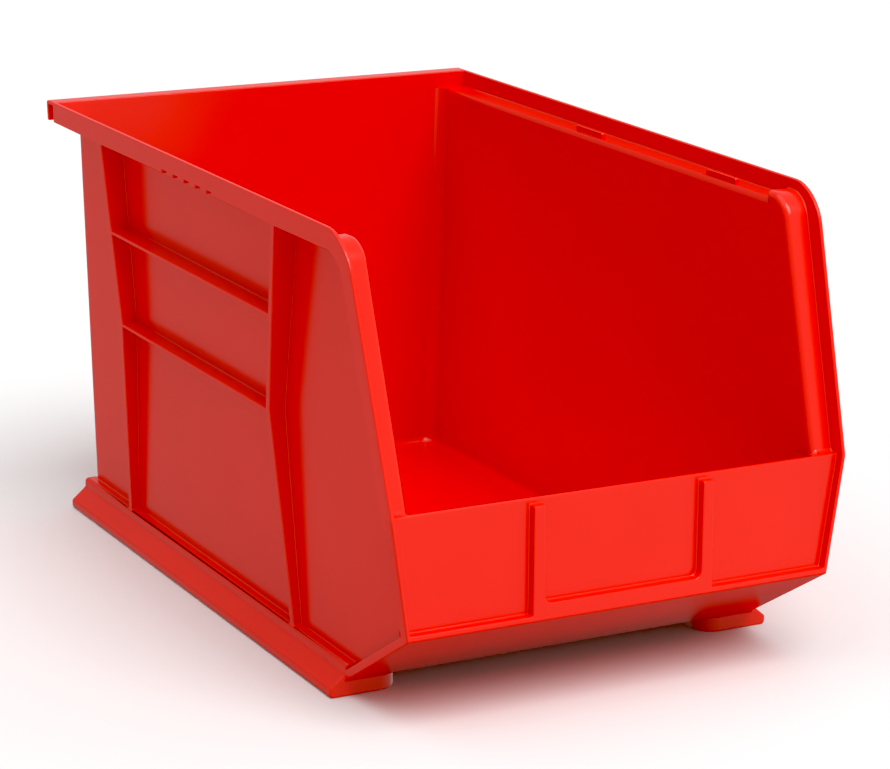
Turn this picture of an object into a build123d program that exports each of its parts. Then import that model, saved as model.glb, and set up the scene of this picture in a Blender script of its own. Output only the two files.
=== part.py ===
"""Hopper-front stacking storage bin, moulded in one colour of plastic.

Frame: millimetres, +Z up.  The open hopper front faces -Y, and the bin's left
and right are -X and +X.  The origin is on the floor under the bin's middle.
Each feature of the moulding is a closed solid, and neighbours meet face to face.
"""
from build123d import *
import os
from math import hypot

# ---- overall sizes ----
overall_length = 457.2      # Y, front edge to the back of the hang lip
overall_width = 279.4       # X, across the two rim flanges
overall_height = 254.0      # Z, ground to the top of the rim

# ---- shell ----
wall = 2.5                  # walls, floor and front
floor_gap = 8.9             # ground to the underside of the floor
side_lean = 6.6             # each side wall leans in by this, rim to rail
corner_radius = 10.0        # outside of the upright back corners
floor_fillet = 4.0          # inside, where the walls meet the floor

# ---- rim: a ledge outside the wall, and a flange standing on its edge ----
rim_overhang = 14.1         # outside of the wall to the outside of the flange
rim_depth = 10.0            # top of the flange down to the ledge
ledge_thickness = 2.4
flange_thickness = 2.3
flange_corner_radius = 28.0 # top front corner of the flange, side view
nose_radius = 12.0          # where the flange turns down the front
post_rise = 4.2             # front end of the ledge, raised to stop a stacked rail
post_gap = 3.0              # from a stacked rail's front end to the raised end
post_radius = 16.0

# ---- hopper front ----
mouth_run = 42.6            # Y from the rim's front corner to the front face
lip_height = 116.9          # ground to the front lip
foot_height = 52.4          # ground to the bottom of the front face
toe_run = 71.6              # Y covered by the sloping toe
front_recess = 5.0          # front panel behind the flange's front edge
toe_strip_depth = 5.0       # flange along the sloping toe
nose_taper = 5.3            # flange leans in by this, rim to lip
front_taper = 9.2           # and by this, lip to the bottom of the front

# ---- label frame on the front panel ----
frame_width = 107.0         # outside of its two uprights
frame_upright = 7.0
frame_sill = 9.0            # height of the bottom bar inside the frame
outer_sill = 3.0            # height of the bottom bar beside the frame
frame_top_gap = 3.0         # top of the uprights below the lip
frame_corner_radius = 4.0

# ---- hang lip along the back ----
hang_lip_reach = 10.0       # outside of the back wall to the outside of the lip
hang_lip_drop = 12.4
hang_lip_thickness = 2.4
hang_lip_radius = 2.0

# ---- rails that the bin stands and stacks on ----
rail_skin = 2.5
rail_back_gap = 2.6         # end of the rail in front of the back wall's face
shoulder_height = 18.0
shoulder_out = 6.0          # shoulder outside the wall
shoulder_radius = 2.5
neck_height = 12.5          # where the rail starts to flare
tip_height = 5.0            # where the flare ends
tip_radius = 2.0
stack_clearance = 3.0       # rail tip inside the flange of the bin below
rail_foot_width = 41.0      # rail tip to the inner face of the foot
foot_corner_radius = 12.0   # inner corners of the foot, from above

# ---- side ribs: Y of each upright's front face, at rim, waist and foot ----
rib_thickness = 5.0
rib_foot_out = 5.0          # outside of the ribs from the wall, at the rail
back_rib = (141.5, 131.2, 141.5)
front_rib = (-101.5, -78.0, -90.3)
upper_shelf_height = 191.0
lower_shelf_height = 136.0
shelf_thickness = 2.2

# ---- stops on the ledges that hold a stacked bin in place ----
stop_length = 30.0
stop_thickness = 2.4
stop_height = 3.4
stop_from_wall = 1.1
stop_root = 1.2             # how deep the stops are keyed into the ledge
stop_radius = 1.0
stop_middles = (36.5, -109.0)

# ---- row of small notches in the left flange's lower edge ----
notch_count = 5
notch_pitch = 15.6
notch_length = 6.5
notch_height = 2.0
notch_middle = 14.4         # Y of the middle notch

# ---- places that follow from the sizes ----
half_width = overall_width / 2
front_y = -overall_length / 2
lip_y = overall_length / 2
back_y = lip_y - hang_lip_reach
back_in_y = back_y - wall
top_z = overall_height
ledge_z = top_z - rim_depth
under_ledge_z = ledge_z - ledge_thickness
floor_z = floor_gap + wall
panel_y = front_y + front_recess
panel_in_y = panel_y + wall
toe_y = front_y + toe_run
post_y = toe_y - post_gap
post_z = ledge_z + post_rise
under_post_y = post_y - ledge_thickness
under_post_z = post_z - ledge_thickness
corner_y = back_y - corner_radius
far = 2 * overall_length


def wall_out(z):
    """Half width outside the side walls at height z."""
    drop = (under_ledge_z - z) / (under_ledge_z - shoulder_height)
    return half_width - rim_overhang - side_lean * drop


def wall_in(z):
    return wall_out(z) - wall


def flange_out(z):
    """Half width outside the flange at height z."""
    if z >= lip_height:
        return half_width - nose_taper * (top_z - z) / (top_z - lip_height)
    drop = (lip_height - max(z, foot_height)) / (lip_height - foot_height)
    return half_width - nose_taper - front_taper * drop


def flange_in(z):
    return flange_out(z) - flange_thickness


def rib_out(z):
    """Half width outside the side ribs, flush with the flange at the rim."""
    drop = (under_ledge_z - z) / (under_ledge_z - shoulder_height)
    foot = wall_out(shoulder_height) + rib_foot_out
    return flange_out(under_ledge_z) * (1 - drop) + foot * drop


def meet(first, second):
    """Point where the lines through two pairs of points cross."""
    (ay, az), (by, bz) = first
    (cy, cz), (dy, dz) = second
    cross = (by - ay) * (dz - cz) - (bz - az) * (dy - cy)
    along = ((cy - ay) * (dz - cz) - (cz - az) * (dy - cy)) / cross
    return ay + along * (by - ay), az + along * (bz - az)


def inset(corners, depths):
    """Open path of corners moved inward, by one depth for each run."""
    runs = []
    for (ay, az), (by, bz), depth in zip(corners, corners[1:], depths):
        length = hypot(by - ay, bz - az)
        shift_y = -(bz - az) / length * depth
        shift_z = (by - ay) / length * depth
        runs.append(((ay + shift_y, az + shift_z), (by + shift_y, bz + shift_z)))
    bends = [meet(first, second) for first, second in zip(runs, runs[1:])]
    return [runs[0][0], *bends, runs[-1][1]]


def outline(corners, radii=()):
    """Flat face from its corners, with (corner, radius) pairs rounded."""
    face = Polygon(*corners, align=None)
    for corner, radius in radii:
        spot = Vector(*corner)
        nearest = min(face.vertices(), key=lambda v: (v.center() - spot).length)
        face = fillet(nearest, radius)
    return face


def along_x(face, start, end):
    """Solid from a face drawn in (y, z)."""
    return extrude(Plane.YZ.offset(start) * face, amount=end - start, dir=(1, 0, 0))


def along_y(face, start, end):
    """Solid from a face drawn in (x, z)."""
    return extrude(Plane.XZ.offset(-start) * face, amount=end - start, dir=(0, 1, 0))


def slab(inner, outer, heights, start=-far, end=far):
    """Solid between two half-width rules, over a list of heights."""
    rise = [(outer(z), z) for z in heights]
    fall = [(inner(z), z) for z in reversed(heights)]
    return along_y(Polygon(*rise, *fall, align=None), start, end)


def minus(rule):
    return lambda z: -rule(z)


def mirrored(solid):
    return mirror(solid, about=Plane.YZ)


# ---- side view: the flange's outer edge and the lines set in from it ----
rim_corner = (front_y + mouth_run, top_z)
nose = (front_y, lip_height)
front_foot = (front_y, foot_height)
toe = (toe_y, floor_gap)
edge = [(back_in_y, top_z), rim_corner, nose, front_foot, toe]
flange_depth = rim_depth + ledge_thickness
step = inset(edge[:3], [rim_depth, rim_depth])
under_step = inset(edge[:3], [flange_depth, flange_depth])
step_at_lip = meet(step[1:], [(0, lip_height), (1, lip_height)])
post = meet(step[1:], [(0, post_z), (1, post_z)])
under_post = meet(under_step[1:], [(0, under_post_z), (1, under_post_z)])
return_z = lip_height - ledge_thickness
under_step_at_lip = meet(under_step[1:], [(0, return_z), (1, return_z)])
toe_inside = inset([front_foot, toe], [wall])
front_foot_in = meet(toe_inside, [(panel_in_y, 0), (panel_in_y, 1)])
toe_in = meet(toe_inside, [(0, floor_z), (1, floor_z)])
toe_top = meet(toe_inside, [(toe_y, 0), (toe_y, 1)])
panel_foot = meet([front_foot, toe], [(panel_y, 0), (panel_y, 1)])
under_post_radius = post_radius - ledge_thickness
under_step_radius = flange_corner_radius - flange_depth


def tapered_core(half_rule, back, bottom, radius):
    """Tapered block with rounded upright back corners, open-ended in front."""
    block = slab(minus(half_rule), half_rule, [bottom, top_z + rim_depth], -far, back)
    upright = block.edges().filter_by(lambda e: e.center().Y > back - 1)
    upright = upright.filter_by(lambda e: abs(e.tangent_at(0.5).Z) > 0.9)
    return fillet(upright, radius)


def make_cavity():
    """Space inside the bin, rounded where the walls meet the floor."""
    side = outline([(back_in_y + 1, floor_z), (back_in_y + 1, far), (panel_in_y, far),
                    front_foot_in, toe_in])
    block = tapered_core(wall_in, back_in_y, floor_z, corner_radius - wall)
    space = block & along_x(side, -far, far)
    low = space.edges().filter_by(lambda e: e.center().Z < lip_height)
    low = low.filter_by(lambda e: abs(e.tangent_at(0.5).Z) < 0.9)
    return fillet(low, floor_fillet)


core = tapered_core(wall_out, back_y, floor_gap, corner_radius)
cavity = make_cavity()


def make_floor():
    side = outline([(back_y + 1, floor_gap), (back_y + 1, floor_z), toe_in, toe_top, toe])
    return (along_x(side, -far, far) & core) - cavity


def make_back_wall():
    block = Box(far, back_y - corner_y + 1, ledge_z - floor_z,
                align=(Align.CENTER, Align.MIN, Align.MIN))
    return (Pos(0, corner_y, floor_z) * block & core) - cavity


def make_side_wall():
    side = outline([(corner_y, floor_z), (corner_y, ledge_z), (post_y, ledge_z),
                    (post_y, post_z), post, step_at_lip, (panel_in_y, lip_height),
                    front_foot_in, toe_in],
                   [(post, post_radius)])
    inner_x = wall_in(floor_z) - floor_fillet
    block = slab(lambda z: inner_x, wall_out, [floor_z, top_z])
    return (along_x(side, 0, far) & block) - cavity


def make_front_panel():
    side = outline([(panel_y, lip_height), (panel_in_y, lip_height), front_foot_in,
                    panel_foot])
    return along_x(side, -far, far) & slab(minus(flange_in), flange_in,
                                           [0, foot_height, lip_height, top_z])


def make_toe_panel():
    side = outline([panel_foot, front_foot_in, toe_top, toe])
    reach = flange_in(foot_height)
    return along_x(side, -reach, reach)


def make_label_frame():
    """Two uprights and a bottom bar, standing out flush with the flange."""
    reach = flange_in(foot_height)
    half = frame_width / 2
    hole = half - frame_upright
    sill_z = foot_height + outer_sill
    frame_top = lip_height - frame_top_gap
    left_half = [(-reach, 0), (-reach, sill_z), (-half, sill_z), (-half, frame_top),
                 (-hole, frame_top), (-hole, foot_height + frame_sill)]
    right_half = [(-x, z) for x, z in reversed(left_half)]
    face = outline(left_half + right_half,
                   [(left_half[-1], frame_corner_radius),
                    (right_half[0], frame_corner_radius)])
    side = outline([(front_y, top_z), (panel_y, top_z), panel_foot, front_foot])
    return along_y(face, front_y, panel_y) & along_x(side, -far, far)


def make_rim_ledge():
    band = outline([(back_in_y, ledge_z), (post_y, ledge_z), (post_y, post_z), post,
                    step_at_lip, (panel_in_y, lip_height), (panel_in_y, return_z),
                    under_step_at_lip, under_post, (under_post_y, under_post_z),
                    (under_post_y, under_ledge_z), (back_in_y, under_ledge_z)],
                   [(post, post_radius), (under_post, under_post_radius)])
    block = slab(lambda z: 0, flange_in, [foot_height, lip_height, top_z])
    return (along_x(band, 0, far) & block) - core


def make_rim_flange():
    depths = [flange_depth, flange_depth, panel_in_y - front_y, toe_strip_depth]
    inside = inset(edge, depths)
    inside[-1] = meet(inside[-2:], [(toe_y, 0), (toe_y, 1)])
    band = outline(edge + inside[::-1],
                   [(rim_corner, flange_corner_radius), (nose, nose_radius),
                    (inside[1], under_step_radius)])
    block = slab(flange_in, flange_out, [0, foot_height, lip_height, top_z])
    return along_x(band, 0, far) & block


def make_notches():
    """Row of small blocks to cut out of one flange's lower edge."""
    block = Box(far, notch_length, 2 * notch_height)
    first = notch_middle - notch_pitch * (notch_count - 1) / 2
    places = [Pos(-far / 2, first + n * notch_pitch, under_ledge_z)
              for n in range(notch_count)]
    return [place * block for place in places]


def make_hang_lip():
    lip_in_y = lip_y - hang_lip_thickness
    under_z = top_z - hang_lip_thickness
    drop_z = top_z - hang_lip_drop
    hook = outline([(back_in_y, under_ledge_z), (back_in_y, top_z), (lip_y, top_z),
                    (lip_y, drop_z), (lip_in_y, drop_z), (lip_in_y, under_z),
                    (back_y, under_z), (back_y, under_ledge_z)],
                   [((lip_y, top_z), hang_lip_radius)])
    whole = along_x(hook, -far, far) & slab(minus(flange_out), flange_out,
                                            [lip_height, top_z])
    below = Box(far, far, far, align=(Align.CENTER, Align.CENTER, Align.MAX))
    return whole - (core & Pos(0, 0, ledge_z) * below)


def rail_face(skin):
    """Cross-section of a rail, drawn in (x, z), set in by a skin."""
    tip_x = flange_in(ledge_z) - stack_clearance - skin
    neck_x = wall_out(shoulder_height) + shoulder_out - skin
    foot_x = tip_x + skin - rail_foot_width + skin
    inner_x = wall_in(floor_gap)
    shoulder_z = shoulder_height - skin
    slope_drop = skin / 2
    corners = [(foot_x, floor_gap), (foot_x, 0), (tip_x, 0), (tip_x, tip_height - slope_drop),
               (neck_x, neck_height - slope_drop), (neck_x, shoulder_z),
               (inner_x, shoulder_z), (inner_x, floor_gap)]
    if skin:
        return outline(corners)
    return outline(corners, [(corners[2], tip_radius), (corners[3], tip_radius),
                             (corners[5], shoulder_radius)])


def rail_block(skin):
    """One rail as a solid, with the foot's inner corners rounded."""
    start = toe_y + skin
    end = back_y - rail_back_gap - skin
    block = along_y(rail_face(skin), start, end)
    foot_x = block.bounding_box().min.X
    upright = block.edges().filter_by(Axis.Z)
    inner = upright.filter_by(lambda e: abs(e.center().X - foot_x) < 0.01)
    return fillet(inner, foot_corner_radius - skin)


def make_rail():
    return rail_block(0) - rail_block(rail_skin) - core


def make_upright(faces):
    """Upright side rib with its waist at the lower shelf."""
    at_rim, at_waist, at_foot = faces
    front = [(at_rim, under_ledge_z), (at_waist, lower_shelf_height),
             (at_foot, shoulder_height)]
    back = [(y + rib_thickness, z) for y, z in reversed(front)]
    block = slab(wall_out, rib_out, [shoulder_height, under_ledge_z])
    return along_x(Polygon(*front, *back, align=None), 0, far) & block


def make_shelf(height, uprights):
    """Level side rib between the two uprights."""
    inset_y = rib_thickness / 2
    start = min(front_rib) + inset_y
    end = max(back_rib) + inset_y
    face_heights = [height - shelf_thickness, height]
    shelf = slab(wall_out, rib_out, face_heights, start, end)
    for upright in uprights:
        shelf -= upright
    return max(shelf.solids(), key=lambda solid: solid.volume)


def make_stops():
    """Low ridges on one ledge, as a group of separate solids."""
    inner_x = wall_out(ledge_z) + stop_from_wall
    stops = []
    for middle in stop_middles:
        ends = (middle - stop_length / 2, middle + stop_length / 2)
        low = ledge_z - stop_root
        top = ledge_z + stop_height
        corners = [(ends[0], low), (ends[0], top), (ends[1], top), (ends[1], low)]
        face = outline(corners, [(corners[1], stop_radius), (corners[2], stop_radius)])
        stops.append(along_x(face, inner_x, inner_x + stop_thickness))
    return stops


def write(name, shape):
    solids = shape if isinstance(shape, list) else shape.solids()
    target = solids[0] if len(solids) == 1 else Compound(children=list(solids))
    target.label = name
    export_step(target, f"parts/{name}.step")


def write_pair(name, solid):
    """The right-hand piece as modelled, and its mirror image on the left."""
    write(f"right_{name}", solid)
    write(f"left_{name}", mirrored(solid))


os.makedirs("parts", exist_ok=True)
write("floor_pan", make_floor())
write("back_wall", make_back_wall())
write("front_panel", make_front_panel())
write("toe_panel", make_toe_panel())
write("label_frame", make_label_frame())
write("hang_lip", make_hang_lip())
write_pair("side_wall", make_side_wall())
write_pair("stacking_rail", make_rail())

flange = make_rim_flange()
left_flange = mirrored(flange)
for notch in make_notches():
    left_flange -= notch
write("right_rim_flange", flange)
write("left_rim_flange", left_flange)

back_upright = make_upright(back_rib)
front_upright = make_upright(front_rib)
write_pair("back_side_rib", back_upright)
write_pair("front_side_rib", front_upright)
for name, height in (("upper", upper_shelf_height), ("lower", lower_shelf_height)):
    write_pair(f"{name}_shelf_rib", make_shelf(height, [back_upright, front_upright]))

stops = make_stops()
ledge = make_rim_ledge()
for stop in stops:
    ledge -= stop
write_pair("rim_ledge", ledge)
write("right_stacking_stops", stops)
write("left_stacking_stops", [mirrored(stop) for stop in stops])
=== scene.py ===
"""Hopper-front stacking storage bin, moulded in one colour of glossy plastic.

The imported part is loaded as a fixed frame.  Every piece is modelled in that
frame, in metres, with +Z up and the open hopper front facing -Y.
"""
import math
import bmesh
import bpy
from bpy.props import FloatProperty, FloatVectorProperty, PointerProperty
from mathutils import Matrix, Vector


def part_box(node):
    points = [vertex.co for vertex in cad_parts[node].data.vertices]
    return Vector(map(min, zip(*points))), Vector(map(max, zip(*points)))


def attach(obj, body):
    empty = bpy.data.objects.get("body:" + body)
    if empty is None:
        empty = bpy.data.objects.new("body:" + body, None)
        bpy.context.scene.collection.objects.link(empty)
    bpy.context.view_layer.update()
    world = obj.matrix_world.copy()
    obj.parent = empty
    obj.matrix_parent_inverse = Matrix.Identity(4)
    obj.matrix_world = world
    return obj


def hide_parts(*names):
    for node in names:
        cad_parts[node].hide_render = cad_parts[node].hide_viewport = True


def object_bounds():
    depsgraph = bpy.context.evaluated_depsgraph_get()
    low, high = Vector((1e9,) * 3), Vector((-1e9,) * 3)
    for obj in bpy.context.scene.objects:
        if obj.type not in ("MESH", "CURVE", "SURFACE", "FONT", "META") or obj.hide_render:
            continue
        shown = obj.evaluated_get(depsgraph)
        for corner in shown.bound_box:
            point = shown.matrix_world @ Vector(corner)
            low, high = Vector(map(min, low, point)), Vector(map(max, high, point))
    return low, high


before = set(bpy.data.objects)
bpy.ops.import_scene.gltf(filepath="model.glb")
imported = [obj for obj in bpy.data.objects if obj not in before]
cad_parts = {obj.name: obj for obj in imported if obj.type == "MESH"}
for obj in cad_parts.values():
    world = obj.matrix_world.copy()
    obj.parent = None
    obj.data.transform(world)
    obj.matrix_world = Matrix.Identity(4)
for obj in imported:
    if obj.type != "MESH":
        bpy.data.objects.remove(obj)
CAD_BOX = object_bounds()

bl_info = {
    "name": "Hopper-front stacking bin",
    "version": (1, 0, 0),
    "blender": (4, 5, 0),
    "location": "View3D > Sidebar > Bin",
    "description": "Builds a moulded stacking bin around its packed frame",
    "category": "Object",
}

MM = 0.001
FAR = 1.0
EMBED = 1.2 * MM        # how far one block reaches into the next before they join

# Where cutters end, outside the bin: above, in front, to the side, below
ABOVE, AHEAD, ASIDE = 0.3, -0.26, 0.2
BELOW, DEEP_BELOW = -0.01, -0.02

# Distances, in metres, under which points count as one
SLIVER, WELD, NEAR = 1e-7, 1e-6, 2e-6

# Turns between faces: counts as flat, starts a floor fillet, gets a small
# radius, shades as an edge, gets a radius on a stop
FLAT, FILLET, BEND, CREASE, SQUARE = (math.radians(a) for a in (0.25, 20, 28, 32, 50))

STOP_MIDDLES = (36.5 * MM, -109 * MM)   # Y of the middle of each stop
RIB_PLACES = {   # Y of each upright's front face at the rim, waist and foot
    "back": (141.5 * MM, 131.2 * MM, 141.5 * MM),
    "front": (-101.5 * MM, -78.0 * MM, -90.3 * MM),
}

# The camera, as fitted: place, turn in degrees (yaw, pitch, roll) and lens
CAMERA_PLACE = (-0.80873, -1.58388, 0.59865)
CAMERA_TURN = (-27.4368, 15.1915, 0.4352)
CAMERA_LENS, CAMERA_SENSOR = 130.385, 36.0

# Sockets that the nodes only tell apart by number
OBJECT_PLACE, MIXED_COLOUR = 3, 2


def length(name, default, about, **more):
    return FloatProperty(name=name, default=default, description=about,
                         unit="LENGTH", min=0.0, **more)


BASE, TOP = CAD_BOX
RAIL_LO, RAIL_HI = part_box("right_stacking_rail")
PANEL_LO, PANEL_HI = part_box("front_panel")
LEDGE_HI, TOE_HI, BACK_HI = (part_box(name)[1] for name in
                             ("right_rim_ledge", "toe_panel", "back_wall"))
FLOOR_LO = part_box("floor_pan")[0]


class BinSizes(bpy.types.PropertyGroup):
    wall: length("Wall", 2.5 * MM, "Thickness of walls, floor and front")
    side_lean: length("Side lean", 6.6 * MM, "How far each side leans in, rim to rail")
    corner: length("Back corners", 10 * MM, "Radius outside the upright back corners")
    floor_fillet: length("Floor fillet", 4 * MM, "Radius where the walls meet the floor")
    rim_overhang: length("Rim overhang", 14.1 * MM, "Side wall to the outside of the rim")
    ledge: length("Ledge", 2.4 * MM, "Thickness of the stacking ledge")
    flange: length("Flange", 2.3 * MM, "Thickness of the rim flange")
    flange_corner: length("Flange corner", 28 * MM,
                          "Radius at the top front of the flange")
    post_y: length("Post", 160 * MM, "Middle of the bin to the ledge's raised front end")
    post_round: length("Post radius", 16 * MM, "Radius on top of the raised front end")
    nose: length("Nose", 12 * MM, "Radius where the flange turns down the front")
    mouth_run: length("Mouth run", 42.6 * MM, "How far the mouth slopes forward")
    foot_height: length("Foot height", 52.4 * MM, "Ground to the bottom of the front")
    strip: length("Toe strip", 5 * MM, "Depth of the strip along the sloping toe")
    nose_taper: length("Nose taper", 5.3 * MM, "How far the flange leans in, rim to lip")
    front_taper: length("Front taper", 9.2 * MM,
                        "How far the flange leans in below the lip")
    hook_round: length("Hang lip radius", 2 * MM, "Radius along the top of the hang lip")
    lip_fillet: length("Lip fillet", 3 * MM, "Radius where the front lip meets the mouth")
    rim_roll: length("Rim roll", 3.6 * MM, "Radius where the wall turns into the ledge")
    edge: length("Edge radius", 0.8 * MM, "Radius of the small moulded edges")


class RailSizes(bpy.types.PropertyGroup):
    skin: length("Skin", 2.5 * MM, "Thickness of the hollow rails")
    shoulder_out: length("Shoulder", 6 * MM, "How far the shoulder stands out")
    neck: length("Neck height", 12.5 * MM, "Height where the rail starts to flare")
    tip: length("Tip height", 5 * MM, "Height where the flare ends")
    foot_corner: length("Foot corners", 12 * MM, "Radius of the foot's inner corners")
    shoulder_round: length("Shoulder radius", 2.5 * MM, "Radius of the shoulder's edge")
    tip_round: length("Tip radius", 2 * MM, "Radius of the tip's edges")


class RibSizes(bpy.types.PropertyGroup):
    thickness: length("Thickness", 5 * MM, "Thickness of the upright ribs")
    foot_out: length("Foot depth", 5 * MM, "How far the ribs stand out at the rail")
    shelf: length("Shelf thickness", 2.2 * MM, "Thickness of the level ribs")
    waist: length("Waist height", 136 * MM, "Height where the upright ribs bend")
    upper: length("Upper shelf", 191 * MM, "Height of the upper level rib")


class LabelSizes(bpy.types.PropertyGroup):
    width: length("Width", 107 * MM, "Width over the two uprights")
    upright: length("Upright", 7 * MM, "Width of one upright")
    sill: length("Sill", 9 * MM, "Height of the bar inside the frame")
    outer_sill: length("Outer sill", 3 * MM, "Height of the bar beside the frame")
    gap: length("Top gap", 3 * MM, "Top of the uprights below the lip")
    corner: length("Corner", 4 * MM, "Radius of the frame's lower corners")


# ---------------------------------------------------------------- outlines

def meet(first, second):
    """Point where the lines through two pairs of points cross."""
    (ay, az), (by, bz) = first
    (cy, cz), (dy, dz) = second
    cross = (by - ay) * (dz - cz) - (bz - az) * (dy - cy)
    along = ((cy - ay) * (dz - cz) - (cz - az) * (dy - cy)) / cross
    return ay + along * (by - ay), az + along * (bz - az)


def inward(start, end, depth):
    """The run from start to end, moved into the bin by a depth."""
    (ay, az), (by, bz) = start, end
    run = math.hypot(by - ay, bz - az)
    shift = Vector((-(bz - az), by - ay)) / run * depth
    return (ay + shift.x, az + shift.y), (by + shift.x, bz + shift.y)


def at_y(run, y):
    return meet(run, ((y, 0), (y, 1)))


def at_z(run, z):
    return meet(run, ((0, z), (1, z)))


class Lines:
    """Places on the moulding that follow from the sizes and the frame."""

    def __init__(self, s, rails, ribs):
        self.s = s
        self.top = TOP.z
        self.half = TOP.x
        self.ledge = BACK_HI.z
        self.post_top = LEDGE_HI.z
        self.under = self.ledge - s.ledge
        self.shoulder = RAIL_HI.z
        self.lip = PANEL_HI.z
        self.front = BASE.y
        self.panel = PANEL_LO.y
        self.panel_in = self.panel + s.wall
        self.back = BACK_HI.y
        self.back_in = self.back - s.wall
        self.hook = TOP.y
        self.low = FLOOR_LO.z
        self.floor = self.low + s.wall
        self.rib_foot = self.wall_out(self.shoulder) + ribs.foot_out
        self.toe_y = TOE_HI.y
        self.corner = (self.front + s.mouth_run, self.top)
        self.nose = (self.front, self.lip)
        self.foot = (self.front, s.foot_height)
        self.toe = (self.toe_y, self.low)
        self.rim = ((self.back, self.top), self.corner)
        self.mouth = (self.corner, self.nose)
        self.toe_run = (self.foot, self.toe)

    def drop(self, z):
        return (self.under - z) / (self.under - self.shoulder)

    def wall_out(self, z):
        return self.half - self.s.rim_overhang - self.s.side_lean * self.drop(z)

    def wall_in(self, z):
        return self.wall_out(z) - self.s.wall

    def in_wall(self, z):
        return self.wall_out(z) - EMBED

    def flange_out(self, z):
        s = self.s
        if z >= self.lip:
            return self.half - s.nose_taper * (self.top - z) / (self.top - self.lip)
        fall = (self.lip - max(z, s.foot_height)) / (self.lip - s.foot_height)
        return self.half - s.nose_taper - s.front_taper * fall

    def flange_in(self, z):
        return self.flange_out(z) - self.s.flange

    def in_flange(self, z):
        return self.flange_in(z) + EMBED

    def rib_out(self, z):
        if z > self.under + 0.1 * MM:
            return self.flange_out(z) - EMBED
        return (self.flange_out(self.under) * (1 - self.drop(z))
                + self.rib_foot * self.drop(z))


# ------------------------------------------------------------ block making

def prism(corners, along, start, end):
    """A closed block: a flat outline pushed along one axis."""
    bm = bmesh.new()
    across = [a for a in range(3) if a != along]
    ring = []
    for corner in corners:
        spot = Vector((start, start, start))
        spot[across[0]], spot[across[1]] = corner
        ring.append(bm.verts.new(spot))
    face = bm.faces.new(ring)
    made = bmesh.ops.extrude_face_region(bm, geom=[face], use_keep_orig=True)
    push = Vector((0, 0, 0))
    push[along] = end - start
    moved = [v for v in made["geom"] if isinstance(v, bmesh.types.BMVert)]
    bmesh.ops.translate(bm, verts=moved, vec=push)
    bmesh.ops.recalc_face_normals(bm, faces=bm.faces)
    return bm


def cut_levels(bm, levels):
    """Edges all round the block at some heights, where a rule bends."""
    for z in levels:
        bmesh.ops.bisect_plane(bm, geom=[*bm.verts, *bm.edges, *bm.faces],
                               plane_co=(0, 0, z), plane_no=(0, 0, 1), dist=SLIVER)


def band(corners, inner, outer, levels=()):
    """A block between two half-width rules, from an outline in side view."""
    bm = prism(corners, 0, 0.0, FAR)
    cut_levels(bm, levels)
    for v in bm.verts:
        rule = outer if v.co.x > FAR / 2 else inner
        v.co.x = rule(v.co.z)
    bmesh.ops.recalc_face_normals(bm, faces=bm.faces)
    return bm


def past_middle(reach):
    """A rule for blocks that run past the bin's middle, each by its own amount."""
    return lambda _z: -reach * MM


def bevel(bm, edges, offset, segments):
    bmesh.ops.bevel(bm, geom=edges, affect="EDGES", segments=segments, offset=offset,
                    offset_type="OFFSET", profile=0.5, material=-1)


def round_edges(bm, spots, radius, segments=5):
    """Rounds the edges that pass through the given points, (axis, point) each."""
    for axis, point in spots:
        others = [a for a in range(3) if a != axis]
        chosen = [e for e in bm.edges
                  if all(abs(v.co[o] - point[k]) < WELD
                         for v in e.verts for k, o in enumerate(others))]
        if not chosen:
            raise RuntimeError(f"no edge to round at {point}")
        turn = chosen[0].calc_face_angle()
        bevel(bm, chosen, radius * math.tan(turn / 2), segments)


def round_upright(bm, behind, radius):
    """Rounds the outer upright edges that lie behind a place."""
    chosen = []
    for e in bm.edges:
        a, b = e.verts[0].co, e.verts[1].co
        middle, run = (a + b) / 2, (b - a).normalized()
        if abs(run.z) > 0.9 and middle.x > 0.05 and middle.y > behind:
            chosen.append(e)
    if not chosen:
        raise RuntimeError("no upright edge to round")
    bevel(bm, chosen, radius * math.tan(math.pi / 4), 7)


def as_object(bm, name):
    mesh = bpy.data.meshes.new(name)
    bm.to_mesh(mesh)
    bm.free()
    made = bpy.data.objects.new(name, mesh)
    bpy.context.scene.collection.objects.link(made)
    return made


def finished_mesh(source, name):
    """The mesh of an object with its modifiers applied."""
    seen = source.evaluated_get(bpy.context.evaluated_depsgraph_get())
    mesh = bpy.data.meshes.new_from_object(seen)
    mesh.name = name
    return mesh


def drop_object(unwanted):
    mesh = unwanted.data
    bpy.data.objects.remove(unwanted)
    bpy.data.meshes.remove(mesh)


def join(first, second, operation="UNION"):
    """Joins, cuts or overlaps two blocks; both are used up."""
    base = as_object(first, "work_base")
    other = as_object(second, "work_other")
    step = base.modifiers.new("join", "BOOLEAN")
    step.operation = operation
    step.solver = "EXACT"
    step.object = other
    mesh = finished_mesh(base, "work_joined")
    drop_object(base)
    drop_object(other)
    bm = bmesh.new()
    bm.from_mesh(mesh)
    bpy.data.meshes.remove(mesh)
    if not bm.faces:
        raise RuntimeError("a join left nothing")
    return bm


def tidy(bm):
    """Merges what is doubled and drops lines drawn on flat faces."""
    bmesh.ops.remove_doubles(bm, verts=bm.verts, dist=NEAR)
    bmesh.ops.dissolve_degenerate(bm, edges=bm.edges, dist=NEAR)
    bmesh.ops.dissolve_limit(bm, angle_limit=FLAT, verts=bm.verts,
                             edges=bm.edges, use_dissolve_boundaries=False)
    return bm


# ------------------------------------------------------------- the moulding

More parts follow.
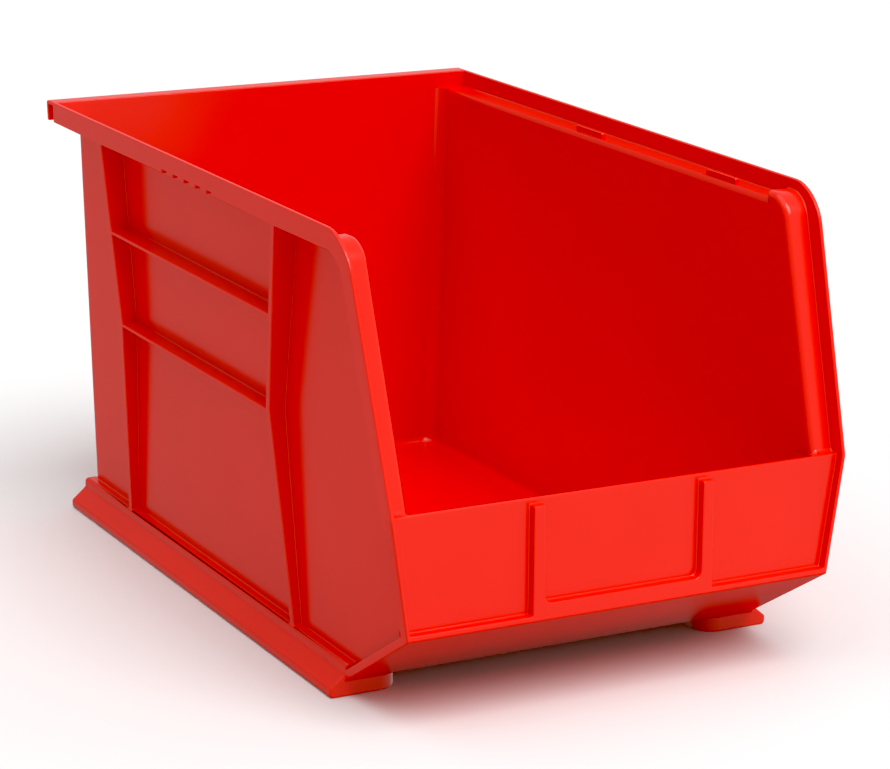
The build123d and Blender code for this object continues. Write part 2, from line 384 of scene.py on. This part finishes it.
def body_block(n):
    """The tub as a solid block, a little short of the mouth and the front."""
    s = n.s
    front, depth = n.panel + EMBED, n.top - n.ledge + EMBED
    rim, mouth = inward(*n.rim, depth), inward(*n.mouth, depth)
    bm = band([(n.back, n.low), (front, n.low), (front, n.lip - EMBED),
               at_z(mouth, n.lip - EMBED), meet(rim, mouth), (n.back, n.top - depth)],
              past_middle(5), n.wall_out)
    round_upright(bm, n.back - MM, s.corner)
    return bm


def cavity_block(n):
    """The room inside the tub, with its rounded floor edges."""
    s = n.s
    toe_in = inward(*n.toe_run, s.wall)
    bm = band([(n.back_in, n.floor), at_z(toe_in, n.floor), at_y(toe_in, n.panel_in),
               (n.panel_in, ABOVE), (n.back_in, ABOVE)],
              past_middle(20), n.wall_in)
    round_upright(bm, n.back_in - MM, s.corner - s.wall)
    low = [e for e in bm.edges
           if max(v.co.z for v in e.verts) < n.lip
           and max(v.co.x for v in e.verts) > -19 * MM
           and e.calc_face_angle(0) > FILLET
           and abs((e.verts[0].co - e.verts[1].co).normalized().z) < 0.9]
    bevel(bm, low, s.floor_fillet, 5)
    return bm


def rim_block(n):
    """Ledge, flange, front and hang lip as one solid, across the whole bin."""
    s = n.s
    depth = n.top - n.under
    hook_in, hook_top = n.hook - s.ledge, n.top - s.ledge
    under_rim, under_mouth = inward(*n.rim, depth), inward(*n.mouth, depth)
    inner_bend = at_y(under_mouth, n.panel_in)
    under_corner = meet(under_rim, under_mouth)
    foot = 30 * MM          # inside the toe, which closes the block from below
    bm = band([(n.hook, n.top), n.corner, n.nose, (n.front, foot), (n.panel_in, foot),
               inner_bend, under_corner, (n.back, n.under), (n.back, hook_top),
               (hook_in, hook_top), (hook_in, n.under), (n.hook, n.under)],
              past_middle(6), n.flange_out, [n.lip, s.foot_height])
    round_edges(bm, [(0, n.corner)], s.flange_corner, 8)
    round_edges(bm, [(0, n.nose)], s.nose, 3)
    round_edges(bm, [(0, under_corner)], s.flange_corner - depth, 6)
    round_edges(bm, [(0, (n.hook, n.top))], s.hook_round, 4)
    return bm


def mouth_cutter(n):
    """What is cut away above the ledge and in front of the panel."""
    s = n.s
    depth = n.top - n.ledge
    step_mouth = inward(*n.mouth, depth)
    post, heel = at_z(step_mouth, n.post_top), at_z(step_mouth, n.lip)
    bm = band([(n.back_in, ABOVE), (AHEAD, ABOVE), (AHEAD, BELOW), (n.panel, BELOW),
               (n.panel, n.lip), heel, post, (-s.post_y, n.post_top), (-s.post_y, n.ledge),
               (n.back_in, n.ledge)],
              past_middle(21), n.flange_in, [n.lip, s.foot_height])
    round_edges(bm, [(0, post)], s.post_round, 8)
    round_edges(bm, [(0, heel)], s.lip_fillet, 5)
    return bm


def toe_blocks(n):
    """The sloping toe out to the flange, and the strip below the flange."""
    s = n.s
    flat = s.foot_height - MM
    skin, strip = inward(*n.toe_run, s.wall), inward(*n.toe_run, s.strip)
    deep = n.panel + EMBED
    slab = band([(deep, 2 * MM), (n.toe_y, 2 * MM), at_y(skin, n.toe_y),
                 at_y(skin, deep)], past_middle(7), lambda z: n.in_flange(flat))
    edge = band([(deep, 3 * MM), (n.toe_y, 3 * MM), at_y(strip, n.toe_y),
                 at_y(strip, deep)],
                lambda z: n.flange_in(flat), lambda z: n.flange_out(flat))
    return slab, edge


def toe_cutter(n):
    """What is cut away below the sloping toe."""
    return band([at_y(n.toe_run, AHEAD), n.toe, (n.toe_y, DEEP_BELOW),
                 (AHEAD, DEEP_BELOW)],
                past_middle(22), lambda z: ASIDE)


def rail_blocks(n, rails):
    """One rail as a solid, and the room under it."""
    tip, foot = RAIL_HI.x, RAIL_LO.x
    side, start, end = n.flange_out(0), n.toe_y, RAIL_HI.y
    solid = prism([(foot, n.low + EMBED), (foot, 0), (tip, 0), (tip, rails.tip),
                   (side, rails.neck), (side, n.shoulder), (n.in_wall(n.low), n.shoulder),
                   (n.in_wall(n.low), n.low + EMBED)], 1, start, end)
    round_edges(solid, [(1, (tip, 0)), (1, (tip, rails.tip))], rails.tip_round, 4)
    round_edges(solid, [(1, (side, n.shoulder))], rails.shoulder_round, 5)
    round_edges(solid, [(2, (foot, start)), (2, (foot, end))], rails.foot_corner, 8)
    k = rails.skin
    roof = n.shoulder - k
    hollow = prism([(foot + k, n.low), (foot + k, -5 * MM), (tip - k, -5 * MM),
                    (tip - k, rails.tip - k / 2), (side - k, rails.neck - k / 2),
                    (side - k, roof), (n.wall_out(roof), roof),
                    (n.wall_out(n.low), n.low)], 1, start + k, end - k)
    round_edges(hollow, [(2, (foot + k, start + k)), (2, (foot + k, end - k))],
                rails.foot_corner - k, 8)
    return solid, hollow


def rib_frame(n, ribs):
    """The upright and level ribs of one side, as a plate with three windows."""
    low = n.shoulder - 4 * MM
    high = n.under + EMBED

    def run(places, shift=0.0):
        at_rim, at_waist, at_foot = (y + shift for y in places)
        slide = (at_foot - at_waist) / (n.shoulder - ribs.waist)
        return {high: at_rim, n.under: at_rim, ribs.waist: at_waist,
                low: at_foot + slide * (low - n.shoulder)}

    def y_at(places, z, shift=0.0):
        bends = sorted(run(places, shift).items())
        return next(at_z(((ay, az), (by, bz)), z)[0]
                    for (az, ay), (bz, by) in zip(bends, bends[1:]) if az <= z <= bz)

    back, front, thick = RIB_PLACES["back"], RIB_PLACES["front"], ribs.thickness
    outline = ([(y, z) for z, y in run(front).items()]
               + [(y, z) for z, y in reversed(run(back, thick).items())])
    frame_block = band(outline, n.in_wall, n.rib_out, [n.under])
    shelf = ribs.shelf
    for top, bottom in ((high + MM, ribs.upper), (ribs.upper - shelf, ribs.waist),
                        (ribs.waist - shelf, low - MM)):
        if top > high:
            left = [(front[0] + thick, z) for z in (top, n.under)]
            right = [(back[0], z) for z in (n.under, top)]
        else:
            left = [(y_at(front, min(top, high), thick), top)]
            right = [(y_at(back, min(top, high)), top)]
        foot = max(bottom, low)
        left.append((y_at(front, foot, thick), bottom))
        right.insert(0, (y_at(back, foot), bottom))
        window = prism(left + right, 0, 0.05, ASIDE)
        frame_block = join(frame_block, window, "DIFFERENCE")
    return frame_block


def label_block(n, label):
    """Right half of the frame that holds a label on the front."""
    s = n.s
    half, hole = label.width / 2, label.width / 2 - label.upright
    sill, inner_sill = s.foot_height + label.outer_sill, s.foot_height + label.sill
    reach, high = n.in_flange(s.foot_height - MM), n.lip - label.gap
    start, low = -8 * MM, 35 * MM
    bm = prism([(start, low), (reach, low), (reach, sill), (half, sill),
                (half, high), (hole, high), (hole, inner_sill), (start, inner_sill)],
               1, n.front, n.panel + EMBED / 2)
    round_edges(bm, [(1, (hole, inner_sill))], label.corner, 5)
    return bm


def mirrored_whole(bm):
    """Both halves from the right half."""
    bmesh.ops.bisect_plane(bm, geom=[*bm.verts, *bm.edges, *bm.faces],
                           plane_co=(0, 0, 0), plane_no=(1, 0, 0), clear_inner=True,
                           dist=SLIVER)
    bmesh.ops.mirror(bm, geom=[*bm.verts, *bm.edges, *bm.faces], merge_dist=WELD,
                     axis="X", matrix=Matrix.Identity(4))
    bmesh.ops.remove_doubles(bm, verts=bm.verts, dist=NEAR)
    bmesh.ops.recalc_face_normals(bm, faces=bm.faces)
    return bm


def sharp_weights(bm, n):
    """How strongly each edge is rounded; the rim's inner edge is the widest."""
    s = n.s
    layer = bm.edges.layers.float.new("bevel_weight_edge")
    small = s.edge / s.rim_roll
    for e in bm.edges:
        if len(e.link_faces) != 2 or e.calc_face_angle(0) < BEND:
            continue
        a, b = e.verts[0].co, e.verts[1].co
        _x, y, z = (a + b) / 2
        weight = small
        on_wall = all(abs(abs(v.x) - n.wall_in(v.z)) < 0.05 * MM for v in (a, b))
        at_back = y > n.back_in - s.corner
        if on_wall and z > n.lip - MM and not at_back and y > n.panel_in + MM:
            weight = 1.0
        if abs(z - n.ledge) < 0.1 * MM and at_back and y < n.back:
            weight = 0.0
        e[layer] = weight
    return bm


def build_moulding(n, rails, ribs, label):
    """The whole moulding: blocks joined, rooms cut out, then mirrored."""
    bm = join(body_block(n), rim_block(n))
    for block in (*toe_blocks(n), rib_frame(n, ribs)):
        bm = join(bm, block)
    bm = join(bm, tidy(join(cavity_block(n), mouth_cutter(n))), "DIFFERENCE")
    bm = join(bm, label_block(n, label))
    bm = join(bm, toe_cutter(n), "DIFFERENCE")
    rail, under_rail = rail_blocks(n, rails)
    bm = join(bm, rail)
    bm = join(bm, under_rail, "DIFFERENCE")
    return tidy(mirrored_whole(tidy(bm)))


def cut_notches(bm, n):
    """The row of small notches in the left flange's lower edge."""
    pitch, wide, high, middle = 15.6 * MM, 6.5 * MM, 2 * MM, 14.4 * MM
    for step in range(-2, 3):
        y = middle + step * pitch
        start, end, low, top = y - wide / 2, y + wide / 2, n.under - MM, n.under + high
        block = prism([(start, low), (end, low), (end, top), (start, top)],
                      0, -ASIDE, -n.flange_in(n.under) + MM)
        bm = join(bm, block, "DIFFERENCE")
    return bm


def rounded(bm, widest):
    """The mesh with its weighted edges rounded."""
    work = as_object(bm, "work_round")
    step = work.modifiers.new("round", "BEVEL")
    step.limit_method = "WEIGHT"
    step.width = widest
    step.segments = 3
    step.profile = 0.5
    step.use_clamp_overlap = False
    step.miter_outer = "MITER_SHARP"
    mesh = finished_mesh(work, "work_rounded")
    drop_object(work)
    done = bmesh.new()
    done.from_mesh(mesh)
    bpy.data.meshes.remove(mesh)
    return done


def finish_piece(bm, name, nodes):
    """Turns a mesh into a finished piece that stands for its CAD nodes."""
    for f in bm.faces:
        f.smooth = True
    for e in bm.edges:
        e.smooth = e.calc_face_angle(0) < CREASE
    piece = as_object(bm, name)
    shade = piece.modifiers.new("even_shading", "WEIGHTED_NORMAL")
    shade.keep_sharp = True
    shade.weight = 60
    piece.data.materials.append(bpy.data.materials["moulded_plastic"])
    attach(piece, "root")
    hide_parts(*nodes)
    return piece


# ---------------------------------------------------------------- materials

class Wire:
    """A shader socket; sums written on it add Math nodes."""

    def __init__(self, tree, socket=None):
        self.tree, self.socket = tree, socket

    def make(self, kind, settings=(), inputs=(), output=0):
        node = self.tree.nodes.new(kind)
        for key, value in dict(settings).items():
            if key == "stops":
                ramp = node.color_ramp
                for spot, shade in zip(ramp.elements, value):
                    spot.position, spot.color = shade[0], (*[shade[1]] * 3, 1)
            else:
                setattr(node, key, value)
        for key, value in dict(inputs).items():
            if isinstance(value, Wire):
                self.tree.links.new(value.socket, node.inputs[key])
            else:
                node.inputs[key].default_value = value
        return Wire(self.tree, node.outputs[output])

    def maths(self, operation, first, second):
        return self.make("ShaderNodeMath", {"operation": operation}, {0: first, 1: second})

    def __add__(self, other):
        return self.maths("ADD", self, other)

    def __mul__(self, other):
        return self.maths("MULTIPLY", self, other)


def noise(wire, place, scale, detail, stops=None):
    """Soft clouds, with a ramp when its two (position, shade) stops are given."""
    cloud = wire.make("ShaderNodeTexNoise", {}, {"Vector": place, "Scale": scale,
                                                "Detail": detail})
    if stops:
        cloud = wire.make("ShaderNodeValToRGB", {"stops": stops}, {"Fac": cloud})
    return cloud


def plastic_material(look):
    """Glossy red plastic with faint clouds, uneven gloss, fine grain and waves."""
    material = bpy.data.materials.new("moulded_plastic")
    material.use_nodes = True
    tree = material.node_tree
    shader = tree.nodes["Principled BSDF"]
    wire = Wire(tree)
    place = wire.make("ShaderNodeTexCoord", output=OBJECT_PLACE)
    mottle = noise(wire, place, 9.0, 3.0, [(0.3, 0.0), (0.7, 1.0)])
    colour = wire.make("ShaderNodeMix", {"data_type": "RGBA"},
                       {0: mottle, 6: (*look.deep, 1), 7: (*look.red, 1)},
                       output=MIXED_COLOUR)
    haze = noise(wire, place, 40.0, 4.0)
    gloss = haze * look.haze + (look.roughness - look.haze / 2)
    peel = noise(wire, place, 420.0, 2.0)
    sway = noise(wire, place, 7.0, 1.0)
    wavy = wire.make("ShaderNodeBump", {}, {"Strength": 1.0, "Distance": look.sway,
                                            "Height": sway})
    grain = wire.make("ShaderNodeBump", {}, {"Strength": 1.0, "Distance": look.peel,
                                             "Height": peel, "Normal": wavy})
    tree.links.new(colour.socket, shader.inputs["Base Color"])
    tree.links.new(gloss.socket, shader.inputs["Roughness"])
    tree.links.new(grain.socket, shader.inputs["Normal"])
    shader.inputs["IOR"].default_value = look.ior
    shader.inputs["Specular Tint"].default_value = (*look.sheen, 1)
    return material


class BinLook(bpy.types.PropertyGroup):
    red: FloatVectorProperty(name="Red", subtype="COLOR", size=3, min=0, max=1,
                             default=(0.80, 0.014, 0.010),
                             description="Colour of the plastic")
    deep: FloatVectorProperty(name="Deep red", subtype="COLOR", size=3, min=0, max=1,
                              default=(0.765, 0.011, 0.008),
                              description="Colour in the slightly darker clouds")
    roughness: FloatProperty(name="Roughness", default=0.19, min=0, max=1,
                             subtype="FACTOR", description="Middle roughness")
    haze: FloatProperty(name="Haze", default=0.06, min=0, max=1, subtype="FACTOR",
                        description="How much the roughness varies")
    ior: FloatProperty(name="IOR", default=1.49, min=1, max=3,
                       description="Strength of the gloss")
    sheen: FloatVectorProperty(name="Gloss tint", subtype="COLOR", size=3, min=0, max=1,
                               default=(1.0, 0.96, 0.9),
                               description="Tint of the reflections")
    peel: length("Peel", 0.012 * MM, "Height of the fine surface grain")
    sway: length("Sway", 0.35 * MM, "Height of the slow waves in the walls")


class StageLook(bpy.types.PropertyGroup):
    world: FloatProperty(name="Room light", default=0.55, min=0,
                         description="Brightness of the white room")
    slant: FloatVectorProperty(name="Room slant", size=2, default=(0.22, -0.12),
                               description="How the room brightens to the right and back")
    ground: FloatVectorProperty(name="Ground", size=3, default=(-0.60, -0.34, 0.06),
                                description="Start, end and darkness of the room's "
                                            "lower part in reflections")
    key: FloatProperty(name="Key light", default=2.15, min=0,
                       description="Strength of the soft light in front")
    fill: FloatProperty(name="Top light", default=0.75, min=0,
                        description="Strength of the soft light above")
    depth: FloatVectorProperty(name="Colour depth", size=2, min=0, max=1,
                               default=(0.015, 0.022),
                               description="Level of green and blue shown as black")
    floor: FloatVectorProperty(name="Floor", subtype="COLOR", size=3, min=0, max=1,
                               default=(0.80, 0.80, 0.80), description="Floor colour")


# ---------------------------------------------------------------- operators

def lines_of(context):
    scene = context.scene
    return Lines(scene.bin_sizes, scene.bin_rails, scene.bin_ribs)


class BIN_OT_plastic(bpy.types.Operator):
    """Makes the glossy moulded plastic"""
    bl_idname = "bin.plastic"
    bl_label = "Plastic"

    def execute(self, context):
        plastic_material(context.scene.bin_look)
        return {"FINISHED"}


class BIN_OT_moulding(bpy.types.Operator):
    """Builds the moulding: tub, rim, front, ribs and rails"""
    bl_idname = "bin.moulding"
    bl_label = "Moulding"

    def execute(self, context):
        scene = context.scene
        n = lines_of(context)
        bm = build_moulding(n, scene.bin_rails, scene.bin_ribs, scene.bin_label)
        bm = tidy(cut_notches(bm, n))
        bm = rounded(sharp_weights(bm, n), n.s.rim_roll)
        whole = [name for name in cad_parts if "stops" not in name]
        finish_piece(bm, "bin_body", whole)
        return {"FINISHED"}


class BIN_OT_stops(bpy.types.Operator):
    """Builds the low ridges that hold a stacked bin in place"""
    bl_idname = "bin.stops"
    bl_label = "Stacking stops"

    def execute(self, context):
        n = lines_of(context)
        for side, sign in (("left", -1), ("right", 1)):
            whole = bmesh.new()
            lo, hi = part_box(f"{side}_stacking_stops")
            for middle in STOP_MIDDLES:
                start, end = middle - 15 * MM, middle + 15 * MM
                root = n.ledge - EMBED / 2
                bm = prism([(start, root), (start, hi.z), (end, hi.z), (end, root)],
                           0, lo.x, hi.x)
                round_edges(bm, [(0, (start, hi.z)), (0, (end, hi.z))], MM, 4)
                edges = [e for e in bm.edges if e.calc_face_angle(0) > SQUARE
                         and min(v.co.z for v in e.verts) > n.ledge]
                bevel(bm, edges, 0.4 * MM, 2)
                mesh = bpy.data.meshes.new("work_stop")
                bm.to_mesh(mesh)
                bm.free()
                whole.from_mesh(mesh)
                bpy.data.meshes.remove(mesh)
            finish_piece(whole, f"{side}_stops", [f"{side}_stacking_stops"])
        return {"FINISHED"}


class BIN_OT_stage(bpy.types.Operator):
    """Builds the pale floor, the soft lights and the camera"""
    bl_idname = "bin.stage"
    bl_label = "Stage"

    def execute(self, context):
        scene, look = context.scene, context.scene.bin_stage
        bm = bmesh.new()
        bmesh.ops.create_grid(bm, x_segments=1, y_segments=1, size=6.0)
        bmesh.ops.translate(bm, verts=bm.verts, vec=(0, 0, -0.1 * MM))
        floor = as_object(bm, "floor")
        material = bpy.data.materials.new("pale_floor")
        material.use_nodes = True
        shader = material.node_tree.nodes["Principled BSDF"]
        wire = Wire(material.node_tree)
        place = wire.make("ShaderNodeTexCoord", output=OBJECT_PLACE)
        cloud = noise(wire, place, 2.0, 3.0)
        pale = tuple(0.97 * c for c in look.floor)
        tint = wire.make("ShaderNodeMix", {"data_type": "RGBA"},
                         {0: cloud, 6: (*pale, 1), 7: (*look.floor, 1)},
                         output=MIXED_COLOUR)
        material.node_tree.links.new(tint.socket, shader.inputs["Base Color"])
        shader.inputs["Roughness"].default_value = 0.9
        floor.data.materials.append(material)
        floor.visible_glossy = False    # the gloss shows the room's lower part instead

        world = bpy.data.worlds.new("white_room")
        world.use_nodes = True
        back = world.node_tree.nodes["Background"]
        back.inputs["Color"].default_value = (1, 1, 1, 1)
        wire = Wire(world.node_tree)
        way = wire.make("ShaderNodeTexCoord")
        x, y, z = (wire.make("ShaderNodeSeparateXYZ", {}, {0: way}, output=k)
                   for k in range(3))
        low, high, dark = look.ground
        shade = wire.make("ShaderNodeMapRange", {}, {
            "Value": z, "From Min": low, "From Max": high, "To Min": dark, "To Max": 1.0})
        glow = (x * look.slant[0] + y * look.slant[1] + look.world) * shade
        world.node_tree.links.new(glow.socket, back.inputs["Strength"])
        scene.world = world

        for name, strength, spread, place in (
                ("key_light", look.key, 40, (0.12, -1.0, 1.5)),
                ("top_light", look.fill, 60, (-0.35, 0.1, 1.0))):
            light = bpy.data.lights.new(name, "SUN")
            light.energy, light.angle = strength, math.radians(spread)
            lamp = bpy.data.objects.new(name, light)
            lamp.location = place
            lamp.rotation_euler = (-Vector(place)).to_track_quat("-Z", "Y").to_euler()
            scene.collection.objects.link(lamp)

        lens = bpy.data.cameras.new("camera")
        lens.sensor_width, lens.lens = CAMERA_SENSOR, CAMERA_LENS
        lens.clip_start, lens.clip_end = 0.05, 50.0
        camera = bpy.data.objects.new("camera", lens)
        yaw, pitch, roll = (math.radians(a) for a in CAMERA_TURN)
        ahead = Vector((-math.sin(yaw) * math.cos(pitch), math.cos(yaw) * math.cos(pitch),
                        -math.sin(pitch)))
        side = Vector((math.cos(yaw), math.sin(yaw), 0))
        up = side.cross(ahead)
        side, up = (math.cos(roll) * side + math.sin(roll) * up,
                    math.cos(roll) * up - math.sin(roll) * side)
        turn = Matrix((side, up, -ahead)).transposed()
        camera.matrix_world = Matrix.Translation(CAMERA_PLACE) @ turn.to_4x4()
        scene.collection.objects.link(camera)
        scene.camera = camera
        view = scene.view_settings
        view.view_transform = "Standard"
        view.use_curve_mapping = True
        view.curve_mapping.black_level = (0.0, *look.depth)
        view.curve_mapping.update()
        return {"FINISHED"}


class BIN_PT_panel(bpy.types.Panel):
    """Lists the bin's pieces and sizes in the sidebar"""
    bl_idname = "BIN_PT_panel"
    bl_label = "Stacking bin"
    bl_space_type = "VIEW_3D"
    bl_region_type = "UI"
    bl_category = "Bin"

    def draw(self, context):
        for operator in OPERATORS:
            self.layout.operator(operator.bl_idname)
        for name, group in GROUPS:
            box = self.layout.box()
            for key in group.__annotations__:
                box.prop(getattr(context.scene, name), key)


GROUPS = (("bin_sizes", BinSizes), ("bin_rails", RailSizes), ("bin_ribs", RibSizes),
          ("bin_label", LabelSizes), ("bin_look", BinLook), ("bin_stage", StageLook))
OPERATORS = (BIN_OT_stage, BIN_OT_plastic, BIN_OT_moulding, BIN_OT_stops)
CLASSES = (*[group for _, group in GROUPS], *OPERATORS, BIN_PT_panel)


def register():
    for item in CLASSES:
        bpy.utils.register_class(item)
    for name, group in GROUPS:
        setattr(bpy.types.Scene, name, PointerProperty(type=group))


def unregister():
    for name, _ in GROUPS:
        delattr(bpy.types.Scene, name)
    for item in reversed(CLASSES):
        bpy.utils.unregister_class(item)


def main():
    register()
    bpy.ops.bin.stage()
    bpy.ops.bin.plastic()
    bpy.ops.bin.moulding()
    bpy.ops.bin.stops()


if __name__ == "__main__":
    main()
